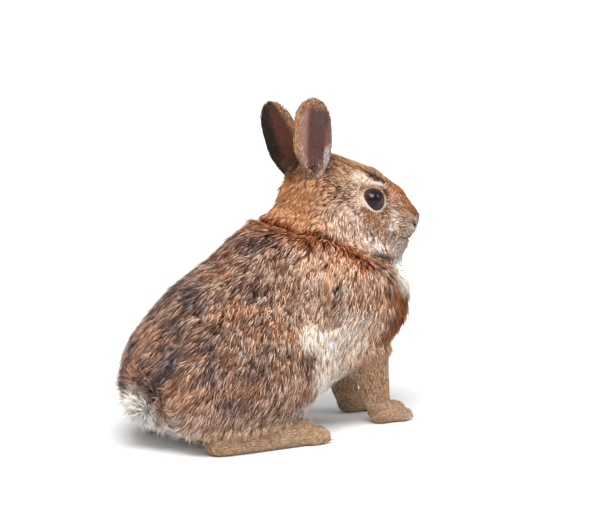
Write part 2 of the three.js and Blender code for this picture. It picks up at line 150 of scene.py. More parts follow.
# Where the dark mottles are on a flank, each with its middle, its radii, how dark it is and how grey.
DARK_PATCHES = (
    ((-66, -11, 108), (10, 11, 11), 0.7, 0.9),
    ((-68, -22, 99), (9, 11, 10), 0.5, 0.5),
    ((-82, -16, 90), (9, 13, 9), 0.85, 0.7),
    ((-35, 0, 127), (12, 12, 7), 0.55, 0.2),
    ((-14, -15, 137), (18, 14, 8), 0.6, 0.1),
    ((-30, -35, 108), (15, 14, 6), 0.8, 0.2),
    ((-36, -48, 91), (12, 14, 5), 0.7, 0.3),
    ((37, -44, 100), (4.5, 14, 10), 0.75, 0.5),
    ((40, -43, 80), (5, 14, 12), 0.5, 0.9),
    ((-92, -26, 69), (9, 12, 13), 0.75, 0.9),
    ((-99, -22, 50), (10, 12, 11), 0.85, 0.8),
    ((-72, -43, 79), (9, 12, 7), 0.6, 0.4),
    ((0, -57, 59), (10, 14, 6), 0.7, 0.1),
    ((-73, -53, 60), (8, 12, 11), 0.6, 0.7),
    ((-44, -61, 58), (13, 14, 7), 0.55, 0.3),
    ((-60, -50, 38), (13, 14, 9), 0.6, 0.4),
)


def bell(value):
    """1 at 0, falling off smoothly to both sides."""
    return np.exp(-(value**2))


def crease_height(p):
    """How far points of the body's frame lie above the fold where the head's hair meets the back's, in mm."""
    x = p[:, 0]
    bulge = 1.3 + 2.6 * bell((x - 44) / 18) + 3.2 * smooth(14, 36, x) - 0.9 * smooth(66, 86, x)
    return (p - NECK_CREASE_POINT) @ NECK_CREASE_WAY - bulge


def linear(hex_colour):
    """A linear RGB triple from an sRGB hex value."""
    srgb = [int(hex_colour[i : i + 2], 16) / 255 for i in (1, 3, 5)]
    return [c / 12.92 if c <= 0.04045 else ((c + 0.055) / 1.055) ** 2.4 for c in srgb]


def drift(points, size, seed):
    """A random value from 0 to 1 at each point, that changes smoothly over about the given size."""
    place = points / size + seed * 7.31
    cell = np.floor(place).astype(np.int64)
    part = place - cell
    part = part * part * (3 - 2 * part)
    total = np.zeros(len(points))
    # Large odd numbers scramble each cell's place into its own value.
    for corner in itertools.product((0, 1), repeat=3):
        key = (cell + corner) @ np.array([73856093, 19349663, 83492791]) + seed * 6151
        key = (key ^ (key >> 13)) * 1274126177 & 0x7FFFFFFF
        key = (key ^ (key >> 15)) * 668265263 & 0x7FFFFFFF
        total += key / 0x7FFFFFFF * np.prod(np.where(corner, part, 1 - part), axis=1)
    return total


def row_of(base, light, dark, shares, hair=(12, 0.95, 15), density=1.9):
    """One zone's row: its colours, its shares of dark and light hairs, the hair's length, width and lift in mm and
    degrees, and the tufts on each square millimetre."""
    return np.array([*linear(base), *linear(light), *linear(dark), *shares, *hair, density])


def spot(points, middle, size):
    """1 in the middle of an egg-shaped spot, fading to 0 at its edge."""
    return 1 - smooth(0.45, 1, np.linalg.norm((points - middle) / size, axis=1))


def toes_at(p):
    """How far points lie past the ends of the toes, in mm, and how deep they lie between two toes, from 0 to 1."""
    hind = p[:, 0] < 62
    side = np.sign(p[:, 1])
    foot_side, gap, fall = (np.where(hind, *pair) for pair in zip(TOES["hind"], TOES["fore"]))
    row = (np.abs(p[:, 1]) - foot_side) * side / gap
    back = fall * np.abs(np.where(hind, row + 0.5 * side, row))
    past = p[:, 0] - np.where(hind, 26, 111) + back
    low = smooth(22, 14, p[:, 2]) * (np.abs(row) < 2.3)
    between = bell((row - np.round(row)) * 5 / 0.9) * (np.abs(row) < 1.5)
    return np.where(low > 0, past, -99), between * low * smooth(-15, -9, past) * smooth(2, 4, p[:, 2])


def coat_plan(world, normals):
    """The coat's row at each point of the skin, and its lie, a unit vector along the skin."""
    p, h = world - body_origin, in_head(world)
    n, hn = normals, normals @ head_axes
    far_side = np.abs(p[:, 1])
    # Both flanks are marked alike.
    even = np.c_[p[:, 0], -far_side, p[:, 2]]
    sides = np.c_[h[:, 0], np.abs(h[:, 1]), h[:, 2]]
    above = crease_height(p)
    plan = np.tile(row_of("#946c57", "#d7b79f", "#533b34", (0.22, 0.3)), (len(p), 1))
    lie = np.tile([-1.0, 0, -0.12], (len(p), 1))

    def zone(weight, *row):
        plan[:] += weight[:, None] * (row_of(*row) - plan)

    def comb(weight, way):
        lie[:] = unit(lie + weight[:, None] * (unit(np.atleast_2d(np.array(way, float))) - lie))

    # The flanks are paler low down, between thigh and foreleg, and the shoulder is warm, with a painted highlight
    # on the neck's roll.
    comb(smooth(0.2, 0.8, np.abs(n[:, 1])), (-0.5, 0, -0.86))
    rump = smooth(-60, -100, p[:, 0]) * smooth(110, 70, p[:, 2])
    zone(rump * 0.7, "#bb8b6d", "#ebbc9d", "#543c33", (0.26, 0.24), (12, 0.95, 16), 1.9)
    fore_flank = smooth(-8, 20, p[:, 0]) * smooth(30, 60, p[:, 2])
    zone(fore_flank * 0.8, "#bb8f78", "#f0d5bd", "#6a4f43", (0.15, 0.36))
    mottle = 0.6 * drift(p, 15, 1) + 0.4 * drift(p, 7, 2)
    mottled = smooth(0.5, 0.66, mottle) * smooth(20, 50, p[:, 2]) * smooth(70, -10, p[:, 0])
    zone(mottled * 0.65, "#78584d", "#b6917f", "#41302d", (0.34, 0.16))
    rust = smooth(0.52, 0.7, drift(p, 11, 21)) * smooth(20, 50, p[:, 2])
    zone(rust * 0.55, "#a8683f", "#dfae84", "#5a3322", (0.26, 0.26))
    # Painted highlight: the roll of skin where the neck meets the shoulder is painted lighter, as where light
    # falls on it, on both sides.
    painted_highlight_on_roll = spot(even, (34, -38, 120), (34, 24, 17))
    zone(painted_highlight_on_roll * 0.85, "#ce9573", "#f8d5b8", "#8c5e46", (0.15, 0.4))
    worn = even + 7 * (np.c_[drift(p, 8, 7), drift(p, 8, 8), drift(p, 8, 9)] - 0.5)
    for place, size, strength, grey in DARK_PATCHES:
        patch = np.minimum(spot(worn, place, np.array(size) * 1.2) * strength * 1.15, 1)
        zone(patch * (1 - grey), "#694d40", "#a07e6b", "#382925", (0.45, 0.12))
        zone(patch * grey, "#5e5157", "#96878a", "#322b2e", (0.45, 0.12))
    grey_fleck = spot(worn, (-20, -41, 102), (7, 10, 4))
    zone(grey_fleck * 0.9, "#a39c9f", "#d5cfcd", "#6b6266", (0.2, 0.3), (11, 0.95, 15), 1.9)
    thigh = spot(p, (-20, 0, 25), (60, 80, 34)) * smooth(30, 44, far_side)
    zone(thigh * 0.5, "#715c4f", "#a09082", "#40322b", (0.2, 0.28), (8, 0.9, 14), 1.6)
    pale = np.maximum(spot(worn, (6, -50, 75), (17, 40, 13)), spot(worn, (26, -46, 68), (22, 40, 18)))
    for place, strength in (((24, -46, 46), 1), ((48, -40, 68), 0.7)):
        pale = np.maximum(pale, strength * spot(worn, place, (22, 40, 26)))
    pale = pale * smooth(14, 26, far_side)
    zone(pale * 0.95, "#e3cab7", "#faf1e6", "#a08c7f", (0.08, 0.5), (12, 1.0, 15), 1.9)
    chest = smooth(0.05, 0.55, n[:, 0]) * smooth(40, 80, p[:, 0])
    zone(chest, "#733b11", "#9e5d25", "#412c19", (0.22, 0.24), (11, 0.95, 16), 1.9)
    comb(chest, (-0.1, 0, -1))
    under = smooth(-0.25, -0.75, n[:, 2]) * smooth(75, 45, p[:, 2])
    zone(under, "#ece4db", "#fdf8f1", "#b5a79c", (0.1, 0.4), (11, 1.1, 15), 0.8)
    comb(under, (-1, 0, 0))

    # Legs and feet: short hair that runs down the leg and out over the toes.
    leg_middle = 72 + (62 - p[:, 2]) * 0.25
    on_leg = smooth(68, 48, p[:, 2]) * smooth(30, 20, np.hypot(p[:, 0] - leg_middle, far_side - 21))
    zone(on_leg, "#b48d6f", "#d0b191", "#86684f", (0.07, 0.24), (4.6, 0.56, 8), 2.3)
    comb(on_leg, (0.12, 0, -1))
    hind = smooth(24, 15, p[:, 2]) * smooth(27, 33, far_side) * smooth(30, 26, p[:, 0])
    zone(hind, "#ba9676", "#d5bb9d", "#92745a", (0.05, 0.22), (3.2, 0.5, 6), 2.8)
    comb(hind, (1, 0, -0.05))
    fore = smooth(18, 11, p[:, 2]) * smooth(70, 78, p[:, 0])
    zone(fore, "#ba9676", "#d5bb9d", "#92745a", (0.05, 0.22), (2.6, 0.46, 6), 3.2)
    comb(fore, (1, 0, -0.15))
    past_toe, toe_gap = toes_at(p)
    zone(smooth(-6, -1, past_toe), "#c6a486", "#e6d1b8", "#8e725a", (0.06, 0.3), (1.8, 0.4, 6), 3.6)
    # Painted shade between the toes: the hair in each gap is painted darker.
    zone(toe_gap * 0.8, "#7d614c", "#a58668", "#5a4434", (0.2, 0.1), (2.0, 0.42, 6), 3.0)
    tail = smooth(24, 15, np.linalg.norm((p - TAIL_MIDDLE) / (1.2, 1, 1), axis=1)) * smooth(-84, -92, p[:, 0])
    zone(tail, "#f8f4ee", "#fffdf8", "#cabfb3", (0.05, 0.5), (14, 0.9, 52), 4.6)
    comb(tail, (-1, 0, 0.3))
    tail_top = tail * smooth(4, 12, p[:, 2] - TAIL_MIDDLE[2])
    zone(tail_top, "#9a765b", "#c8a382", "#4f3c32", (0.3, 0.2), (12, 0.9, 46), 4.0)

    # The head's hair runs back from the nose, turns down over the cheek, and runs down the nape.
    parting = above + 2.4 * (drift(p, 6, 3) - 0.5)
    past_fold = parting + 2 + 5.5 * smooth(34, 56, p[:, 0])
    # Rust-red hair along the neck's fold, with painted shade: the band is darker where the head's hair overhangs
    # it.
    rust_with_crease_shade = bell(past_fold / (3.6 + 5.5 * smooth(1, -5, past_fold))) * smooth(80, 50, p[:, 0])
    zone(rust_with_crease_shade, "#a7512b", "#e1824a", "#632f1c", (0.4, 0.16), (10, 0.85, 17), 1.8)
    ruff = bell((parting + 2) / 2.6) * smooth(32, 48, p[:, 0]) * smooth(108, 96, p[:, 0])
    zone(ruff, "#c7946a", "#ecc8a4", "#91653f", (0.05, 0.3), (6, 0.62, 9), 2.8)
    comb(ruff * 2, (0.8, 0, -0.6))
    crest = bell((above + 8) / 5) * smooth(-2, -40, h[:, 0])
    zone(crest * 0.7, "#a46438", "#cd8d5a", "#543527", (0.25, 0.25), (10, 0.85, 17), 1.6)
    head = smooth(-0.5, 2, parting)
    zone(head, "#a7795b", "#dfbfa6", "#6a4d3c", (0.12, 0.36), (7, 0.66, 10), 2.5)
    comb(head, unit(h - NOSE_TIP) @ head_axes.T)
    droop = smooth(18, -30, h[:, 0]) * smooth(8, -16, h[:, 2]) * head
    comb(droop * 0.8, np.array((-0.35, 0, -0.95)) @ head_axes.T)
    jowl = smooth(-6, -18, h[:, 2]) * smooth(38, 28, h[:, 0]) * smooth(-34, -20, h[:, 0]) * head
    comb(jowl * 2, np.array((-0.2, 0, -1)) @ head_axes.T)
    plan[:, LENGTH] *= 1 - 0.35 * bell((parting - 3) / 3.5) * head
    nape = smooth(-20, -46, h[:, 0]) * smooth(-1, 3, parting) * smooth(0.6, 0, hn[:, 0])
    zone(nape, "#c28357", "#e0b185", "#b4744b", (0.08, 0.22), (8, 0.65, 8), 2.4)
    comb(nape, np.array((-0.35, 0, -1)) @ head_axes.T)
    # Painted shade: the nape is painted dark rust at the roots of the ears, between them.
    painted_shade_at_ear_roots = spot(h, (-48, 0, 2), (12, 16, 14))
    zone(painted_shade_at_ear_roots * 0.8, "#8a5233", "#b27851", "#552f20", (0.3, 0.15), (9, 0.7, 14), 2.2)
    temple = spot(sides, (-30, 18, 3), (12, 13, 13))
    zone(temple * 0.75, "#946b4e", "#c59f7d", "#5a4437", (0.22, 0.24), (6, 0.7, 12), 2.2)
    crown = smooth(0.3, 0.75, hn[:, 2]) * head * smooth(-48, -34, h[:, 0])
    zone(crown, "#a16f4c", "#cea27e", "#5b3c2a", (0.24, 0.26), (5, 0.6, 11), 2.8)
    bridge = smooth(8, 24, h[:, 0]) * smooth(0.15, 0.55, hn[:, 2]) * head
    zone(bridge, "#a76a37", "#c98b55", "#643d24", (0.14, 0.22), (3.4, 0.5, 10), 3.6)
    plan[:, LENGTH] *= 1 - 0.55 * spot(h, (47, 0, 3), (8, 9, 8))
    muzzle = smooth(22, 36, h[:, 0]) * smooth(4, -4, h[:, 2]) * smooth(-34, -30, h[:, 2])
    zone(muzzle, "#a88872", "#d2c0b3", "#786053", (0.1, 0.32), (3.2, 0.45, 10), 3.8)
    lip = spot(sides, (41, 7, -9), (9, 8, 6))
    zone(lip * 0.8, "#c8bbae", "#e7e1d8", "#917e6d", (0.05, 0.4), (2.8, 0.42, 10), 4.0)
    pale_bar = spot(sides, (25, 15, -8), (5, 9, 11))
    zone(pale_bar * 0.8, "#e0d0c2", "#faf2ea", "#998476", (0.08, 0.5), (4.4, 0.5, 10), 3.2)
    grey_bar = spot(sides, (27, 14, -19), (4, 8, 5))
    zone(grey_bar * 0.6, "#968679", "#c3b4a8", "#5c4f48", (0.2, 0.2), (4.4, 0.5, 10), 3.0)
    cheek = spot(sides, (-8, 22, -22), (34, 18, 16))
    zone(cheek * 0.85, "#bd8f76", "#f8decc", "#846a5b", (0.1, 0.42), (9, 0.7, 11), 2.4)
    under_eye = spot(sides, (6, 18, -12), (12, 9, 6))
    zone(under_eye * 0.7, "#a97248", "#cf9e72", "#7b5438", (0.1, 0.3), (5, 0.6, 11), 2.6)
    low_cheek = spot(sides, (16, 14, -28), (16, 14, 9))
    zone(low_cheek * 0.95, "#e5c4b8", "#fdf4ea", "#a88c7d", (0.1, 0.45), (8, 0.75, 13), 2.0)
    brow = np.maximum(spot(sides, (-8, 16, 13), (11, 9, 7)), spot(sides, (3, 16, 12), (10, 7, 4)))
    brow = np.maximum(brow, spot(sides, (-7.5, 21, 1), (8, 9, 12)))
    zone(brow * 0.95, "#e8cbb1", "#fff0e2", "#b08f76", (0.05, 0.42), (4.2, 0.52, 9), 3.2)
    # A pale ring goes round the eye, a dark dash over it, and a dark mark is on the cheek below.
    off = np.linalg.norm((sides - EYE_SEAT - (0.3, 5, -0.5)) * (0.88, 1, 1.04), axis=1)
    uneven = off + 1.2 * (drift(h, 2.5, 10) - 0.5)
    ring = smooth(10.4, 9.2, uneven + 0.8 * smooth(-4, 6, h[:, 0]) + 1.1 * smooth(-3, -8, h[:, 2]))
    zone(ring, "#f3dcca", "#fff6ea", "#cbaf9b", (0.05, 0.45), (2.4, 0.42, 9), 4.4)
    from_eye = unit(h - np.c_[EYE_SEAT[0] + 6 + 0 * off, EYE_SEAT[1] * np.sign(h[:, 1]), 0 * off])
    comb(smooth(16, 11, off) * 3, from_eye @ head_axes.T)
    dash_from, dash_run = np.array([-5, 12, 19.4]), np.array([22, 0.3, -6.2])
    along_dash = np.clip((sides - dash_from) @ dash_run / (dash_run @ dash_run), 0, 1)
    off_dash = np.linalg.norm(sides - dash_from - along_dash[:, None] * dash_run, axis=1)
    dash = smooth(3.6, 1.2, off_dash + 2.0 * (drift(h, 1.8, 12) - 0.5) + 5 * (along_dash - 0.5) ** 2)
    zone(dash * 0.95, "#46332c", "#84644f", "#2a1e1a", (0.6, 0.1), (3.6, 0.5, 8), 3.6)
    ticks = spot(sides, (-18, 22.5, 1), (9, 10, 9)) * smooth(0.5, 0.62, drift(h, 2.6, 4))
    zone(ticks * 0.6, "#4d3c35", "#a58a78", "#2f2420", (0.6, 0.12), (5, 0.55, 13), 2.6)
    mark = spot(sides, (12, 17, -23.3), (4.2, 9, 3.4))
    zone(mark, "#554840", "#84756a", "#352b27", (0.5, 0.05), (4.2, 0.55, 10), 2.8)
    # Painted shade: a darker line along a fold above each nostril.
    painted_shade_in_nose_fold = spot(sides, (44, 7.5, 1), (6, 7, 1.6))
    zone(painted_shade_in_nose_fold * 0.7, "#7c573c", "#a57f5f", "#523827", (0.2, 0.1), (1.8, 0.36, 8), 4.0)
    nose_pad = spot(sides, (44, 10, -4.5), (5, 6, 5))
    zone(nose_pad * 0.9, "#cdbcac", "#efe6dc", "#9c8874", (0.05, 0.3), (1.0, 0.28, 7), 5.6)
    chin = smooth(-15, -20, h[:, 2]) * smooth(-34, -30, h[:, 2]) * smooth(26, 36, h[:, 0])
    zone(chin, "#ad9686", "#d8cdc2", "#796a5e", (0.1, 0.36), (4, 0.5, 12), 3.2)
    # A dark grey band along the jaw: partly the hair's own grey and partly painted shadow under the jaw.
    past_jaw = h[:, 2] + 34.6 - 0.06 * (h[:, 0] - 26) + 1.2 * (drift(h, 4, 15) - 0.5)
    grey_jaw_and_painted_shadow = bell(past_jaw / 2.5) * smooth(11, 20, h[:, 0]) * smooth(48, 42, h[:, 0])
    zone(grey_jaw_and_painted_shadow, "#544f4c", "#7a726b", "#332f2d", (0.45, 0.06), (4.6, 0.6, 10), 2.8)
    throat = spot(h, (43, 0, -44), (21, 26, 17)) * smooth(-0.25, 0.1, n[:, 0])
    zone(throat, "#fffffa", "#fffefb", "#ede3d8", (0.04, 0.5), (9, 0.8, 15), 1.8)

    # Ears: short hair outside and along the rims, nearly bare inside.
    for name in SIDES:
        along, across, outside, ear = on_ear(name, h)
        ear = ear * smooth(9, 6, np.abs(outside))
        zone(ear, "#a57a58", "#c9a27d", "#5b4234", (0.22, 0.2), (3.2, 0.42, 10), 3.4)
        tip_way = np.array(ear_axes(name))[:3, 2] @ head_axes.T
        comb(ear, tip_way)
        inner = ear * smooth(0.3, -0.4, outside)
        ragged = along + 0.1 * (drift(h, 2.0, 14) - 0.5)
        strands = drift(np.c_[across * 16, along * 14, 0 * along], 1.5, 13)
        dark_edge = (ear - inner) * smooth(0.88, 0.97, along)
        zone(dark_edge, "#a67d5c", "#cfa981", "#5b4434", (0.25, 0.2), (2.2, 0.36, 9), 3.6)
        if name == "right":
            zone(inner, "#674640", "#87645c", "#48312d", (0.2, 0.1), (2.0, 0.3, 8), 0.4)
            greyer = smooth(-0.2, 0.5, across) * smooth(0.45, 0.8, along)
            zone(inner * greyer, "#66524d", "#86716b", "#473934", (0.3, 0.1), (2.2, 0.3, 8), 0.8)
            pink_band = inner * smooth(-0.12, -0.42, across)
            zone(pink_band, "#b68d82", "#d8b4a7", "#936a5d", (0.1, 0.25), (2.4, 0.32, 8), 1.2)
            tan_rim = inner * smooth(-0.52, -0.85, across)
            zone(tan_rim, "#b98858", "#e4b885", "#84603e", (0.12, 0.3), (2.8, 0.36, 9), 3.2)
            front_rim = inner * smooth(0.8, 0.95, across)
            zone(front_rim, "#9b6f60", "#c69b8b", "#6e4b40", (0.15, 0.2), (2.6, 0.32, 9), 2.0)
            warm_front = smooth(0.45, 0.75, across) * smooth(0.78, 0.6, along)
            zone(inner * warm_front, "#996e61", "#c39484", "#6c4a3d", (0.15, 0.2), (2.4, 0.32, 8), 1.2)
            low_cup = inner * smooth(0.52, 0.38, along) * 0.6
            zone(low_cup, "#997373", "#bf9c9b", "#705251", (0.1, 0.2), (2.4, 0.32, 8), 1.0)
            half = 0.1 + 0.5 * smooth(0.27, 0.52, along)
            past_wedge = np.abs(across - 0.12 - 0.15 * smooth(0.3, 0.6, along)) - half
            wedge = smooth(0, 0.22, past_wedge) * smooth(0.56, 0.46, along)
            wedge = wedge * smooth(0.25, 0.5, strands + 0.25) * smooth(-0.85, -0.55, across)
            zone(inner * wedge, "#c09a8c", "#e6cbbf", "#9a7569", (0.12, 0.35), (3.4, 0.38, 8), 2.6)
            pale_front = smooth(0.5, 0.7, across) * smooth(0.56, 0.48, along) * smooth(0.3, 0.38, along)
            zone(inner * pale_front, "#cfb1a9", "#f2e2db", "#a98881", (0.06, 0.5), (3.6, 0.38, 9), 3.0)
            cup_root = inner * smooth(0.32, 0.26, along)
            zone(cup_root, "#b28c74", "#e0c2ae", "#84604c", (0.2, 0.3), (3.8, 0.42, 8), 2.4)
            fringe = smooth(0.92, 0.99, across) * smooth(0.9, 0.8, along)
            zone(inner * fringe, "#e9dcd4", "#fffaf5", "#c4b2a8", (0.05, 0.5), (3.0, 0.34, 11), 3.0)
            tan_tip = inner * smooth(0.83, 0.92, ragged)
            zone(tan_tip, "#a97c5e", "#dcb191", "#6a4b3a", (0.25, 0.25), (2.4, 0.34, 9), 3.4)
        else:
            # Painted shade: the left ear's inside, turned from the light, is painted dark reddish brown, and
            # darkest toward its back edge.
            zone(inner, "#5c362b", "#7b4d3e", "#3b241c", (0.25, 0.1), (2.0, 0.3, 8), 0.5)
            painted_shade_at_back = inner * smooth(0.2, 0.62, -across)
            zone(painted_shade_at_back, "#2e211d", "#4b382f", "#1f1613", (0.4, 0.05), (2.4, 0.32, 8), 1.4)
            low_cup = inner * smooth(0.5, 0.3, along) * smooth(0.9, 0.6, -across) * 0.7
            zone(low_cup, "#74533f", "#9c7a63", "#513729", (0.2, 0.2), (2.6, 0.36, 8), 1.6)
            strip = smooth(0.2, 0.75, across + 0.4 * (ragged - 0.7)) * smooth(0.34, 0.6, along)
            zone(inner * strip * 0.9, "#b4855f", "#e8c096", "#73513b", (0.2, 0.3), (2.8, 0.36, 10), 3.0)
            dark_tip = smooth(0.86, 0.95, ragged) * smooth(0.2, -0.2, across)
            zone(inner * dark_tip, "#44352e", "#77614f", "#28201c", (0.4, 0.1), (2.4, 0.36, 9), 3.0)
            tip_edge = dark_edge * smooth(0.2, -0.2, across)
            zone(tip_edge, "#44352e", "#77614f", "#28201c", (0.4, 0.1), (2.2, 0.36, 9), 3.6)
    # Long hair strays a little from the comb, and short hair less.
    loose = 0.35 * (0.25 + 0.75 * smooth(3, 8, plan[:, LENGTH]))
    stray = (loose * (drift(p, 13, 5) + drift(p, 6, 6) - 1))[:, None]
    lie = lie + np.cross(n, lie) * stray
    lie = unit(lie - n * np.sum(lie * n, axis=1, keepdims=True))
    return plan, lie


# ---- Skin ----
# The skin is one closed surface over the whole animal, from the nose to the toes, and it lies under the flesh's
# outline by the depth of the coat. It folds at the neck, the lips, the nostrils and the lids, and on the ears it
# is a thin sheet. The flesh is swollen by SWELL first, so that its thin cuts close.
VOXEL, SWELL = 0.9, 0.35
FLESH = [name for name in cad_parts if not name.startswith("eye_") and name != "tail"]


def coordinates(mesh, values="vertices", name="co"):
    found = np.zeros(len(getattr(mesh, values)) * 3, np.float32)
    getattr(mesh, values).foreach_get(name, found)
    return found.reshape(-1, 3).astype(float)


def only(piece):
    """Makes a piece the only one selected, and the active one."""
    bpy.ops.object.select_all(action="DESELECT")
    piece.select_set(True)
    bpy.context.view_layer.objects.active = piece


bpy.ops.object.select_all(action="DESELECT")
copies = []
for name in FLESH:
    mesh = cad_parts[name].data.copy()
    mesh.materials.clear()
    shell = bmesh.new()
    shell.from_mesh(mesh)
    bmesh.ops.remove_doubles(shell, verts=shell.verts, dist=2e-6)
    bmesh.ops.recalc_face_normals(shell, faces=shell.faces)
    if shell.calc_volume(signed=True) < 0:
        bmesh.ops.reverse_faces(shell, faces=shell.faces)
    shell.normal_update()
    for vert in shell.verts:
        vert.co += vert.normal * SWELL * MM
    shell.to_mesh(mesh)
    shell.free()
    copies.append(bpy.data.objects.new("skin", mesh))
    bpy.context.scene.collection.objects.link(copies[-1])
bpy.ops.mesh.primitive_uv_sphere_add(
    segments=32,
    ring_count=16,
    radius=8.5 * MM,
    location=tuple((TAIL_MIDDLE + body_origin) * MM),
    scale=(1.4, 1, 1),
)
copies.append(bpy.context.object)
for piece in copies:
    piece.select_set(True)
bpy.context.view_layer.objects.active = copies[0]
bpy.ops.object.join()
skin = bpy.context.object
skin.name = skin.data.name = "skin"
skin.data.remesh_voxel_size = VOXEL * MM
bpy.ops.object.voxel_remesh()

edges = np.zeros(len(skin.data.edges) * 2, np.int32)
skin.data.edges.foreach_get("vertices", edges)
edges = edges.reshape(-1, 2)


def settle(values, weight, rounds):
    """Levels a value over the skin with its neighbours, as far as weight says, round after round."""
    count = len(values)
    ends, starts = np.r_[edges[:, 0], edges[:, 1]], np.r_[edges[:, 1], edges[:, 0]]
    number = np.maximum(np.bincount(ends, minlength=count), 1)
    for _ in range(rounds):
        mean = np.stack([np.bincount(ends, v[starts], count) / number for v in values.T], axis=1)
        values = values + weight[:, None] * (mean - values)
    return values


def apply_places(points):
    skin.data.vertices.foreach_set("co", (points * MM).astype(np.float32).ravel())
    skin.data.update()


world = coordinates(skin.data) / MM
head_world = in_head(world)
on_ears = np.max([on_ear(name, head_world)[3] for name in SIDES], axis=0)
near_eye = np.max(
    [smooth(15, 11, np.linalg.norm(head_world - eye_seat(side), axis=1)) for side in SIDES.values()], axis=0
)
above_crease = crease_height(world - body_origin)
on_head = smooth(-2, 14, above_crease)
on_feet = smooth(26, 16, world[:, 2])
on_legs = smooth(66, 50, world[:, 2]) * smooth(52, 60, (world - body_origin)[:, 0]) * 0.8
on_tail = smooth(27, 20, np.linalg.norm(world - body_origin - TAIL_MIDDLE, axis=1))
fine = np.max([on_head, on_feet, on_legs, on_tail], axis=0)
world = settle(world, 0.55 * (1 - fine), 45)
world = settle(world, 0.5 * (1 - on_ears) * (1 - near_eye) * (1 - on_tail) * (1 - 0.7 * on_feet), 7)
world = settle(world, 0.5 * (1 - near_eye), 2)
apply_places(world)
normals = coordinates(skin.data, "vertex_normals", "vector")
plan, lie = coat_plan(world, normals)
depth = plan[:, LENGTH] * (0.95 * np.sin(np.radians(plan[:, LIFT])) + 0.03)
on_rump = smooth(-40, -90, (world - body_origin)[:, 0]) * smooth(110, 80, world[:, 2])
on_chest = smooth(60, 90, (world - body_origin)[:, 0]) * smooth(55, 80, world[:, 2])
depth += (1.5 * on_rump - 1.4 * on_chest) * (1 - on_head)
depth = depth * (1 - near_eye) + SWELL * (1 - near_eye)
depth += 1.2 * smooth(-36, -52, head_world[:, 0]) * on_head * (1 - on_ears)
depth = settle(depth[:, None], np.full(len(depth), 0.5), 8)[:, 0]
depth += 3.0 * bell((above_crease + 1.4) / 2.2) * smooth(56, 40, head_world[:, 0]) * (1 - on_ears)


# The mouth runs round the muzzle below the nose, the upper lip is split, and the nostrils are two slanted slits.
def carved(h):
    """How deep the lines of the face are cut at points in the head's frame, in mm."""
    reach = np.hypot(h[:, 0] - 35, h[:, 1])
    fan = np.abs(np.degrees(np.arctan2(h[:, 1], h[:, 0] - 35)))
    level = -12 - reach * (0.22 + fan / 400)
    mouth = bell((h[:, 2] - level) / 0.9) * smooth(84, 66, fan) * (reach > 4)
    split = bell(h[:, 1] / 0.8) * smooth(-14, -12.5, h[:, 2])
    split = split * smooth(-3, -5, h[:, 2]) * (h[:, 0] > 40)
    sides = np.c_[h[:, 0], np.abs(h[:, 1]), h[:, 2]] - (43.8, 10.0, -5.0)
    slant = math.radians(35)
    high = sides[:, 2] * math.cos(slant) - sides[:, 1] * math.sin(slant)
    wide = sides[:, 2] * math.sin(slant) + sides[:, 1] * math.cos(slant)
    nostril = np.exp(-((high / 1.5) ** 2) - (wide / 3.2) ** 2 - (sides[:, 0] / 2.6) ** 2)
    return 0.7 * mouth + 0.9 * split + 2.8 * nostril


lines = carved(head_world)
snout = spot(head_world, (45, 0, 6), (8, 10, 6)) * 0.4 + spot(head_world, (47, 0, -14), (7, 9, 8)) * 1.3
past_toe, toe_gap = toes_at(world - body_origin)
world = world - normals * (depth + lines + snout + 1.1 * toe_gap)[:, None]
world[:, 0] -= 0.9 * np.maximum(past_toe, 0)
for name, drop in {"right": 2.6, "left": 1.0}.items():
    along, _, _, ear = on_ear(name, head_world)
    tip_way = head_axes @ np.array(ear_axes(name))[:3, 2]
    world = world - unit(tip_way) * (drop * smooth(0.72, 1, along) * ear)[:, None]
# The lids part a little more to the front and the back than the socket does.
for side in SIDES.values():
    nose_way, rim_way, facing = eye_frame(side)
    away = in_head(world) - eye_seat(side)
    run, rise, out = away @ nose_way, away @ rim_way, away @ facing
    near = smooth(15, 9, np.hypot(run, rise)) * smooth(-4, 1, out)
    parted = nose_way[:, None] * (0.15 * run * near) - facing[:, None] * (2.1 * (run / 8) ** 2 * near)
    world = world + (head_axes @ parted).T
apply_places(world)

# Away from the head the skin needs fewer faces.
coarse = skin.vertex_groups.new(name="coarse")
coarse.add(np.where(np.maximum(on_head, on_ears) < 0.5)[0].tolist(), 1.0, "REPLACE")
thin = skin.modifiers.new("thin", "DECIMATE")
thin.ratio = 0.4
thin.vertex_group = "coarse"
only(skin)
bpy.ops.object.modifier_apply(modifier="thin")
skin.vertex_groups.clear()
bpy.ops.object.mode_set(mode="EDIT")
bpy.ops.mesh.select_all(action="SELECT")
bpy.ops.uv.smart_project(angle_limit=math.radians(66), island_margin=0.002)
bpy.ops.object.mode_set(mode="OBJECT")
bpy.ops.object.shade_smooth()
skin.data.uv_layers[0].name = "OFBake"

world = coordinates(skin.data) / MM
normals = coordinates(skin.data, "vertex_normals", "vector")
plan, lie = coat_plan(world, normals)
lines = np.clip(carved(in_head(world)), 0, 1)
# Painted shade: the skin's colour is darkened where the hair over it is long.
underfur_painted_shade = 0.55 + 0.35 * smooth(4, 1.5, plan[:, LENGTH])
skin_colour = (plan[:, BASE] * 0.7 + plan[:, DARK] * 0.3) * underfur_painted_shade[:, None]
# Painted shade: the mouth's line, the split lip and the nostrils are painted near-black.
painted_shade_in_lines = np.clip(1.3 * lines, 0, 0.97)[:, None]
skin_colour = skin_colour * (1 - painted_shade_in_lines) + np.array(linear("#1d1412")) * painted_shade_in_lines


def set_colours(mesh, colours):
    layer = mesh.color_attributes.new(name="Coat", type="FLOAT_COLOR", domain="POINT")
    layer.data.foreach_set("color", np.c_[colours, np.ones(len(colours))].astype(np.float32).ravel())


set_colours(skin.data, skin_colour)


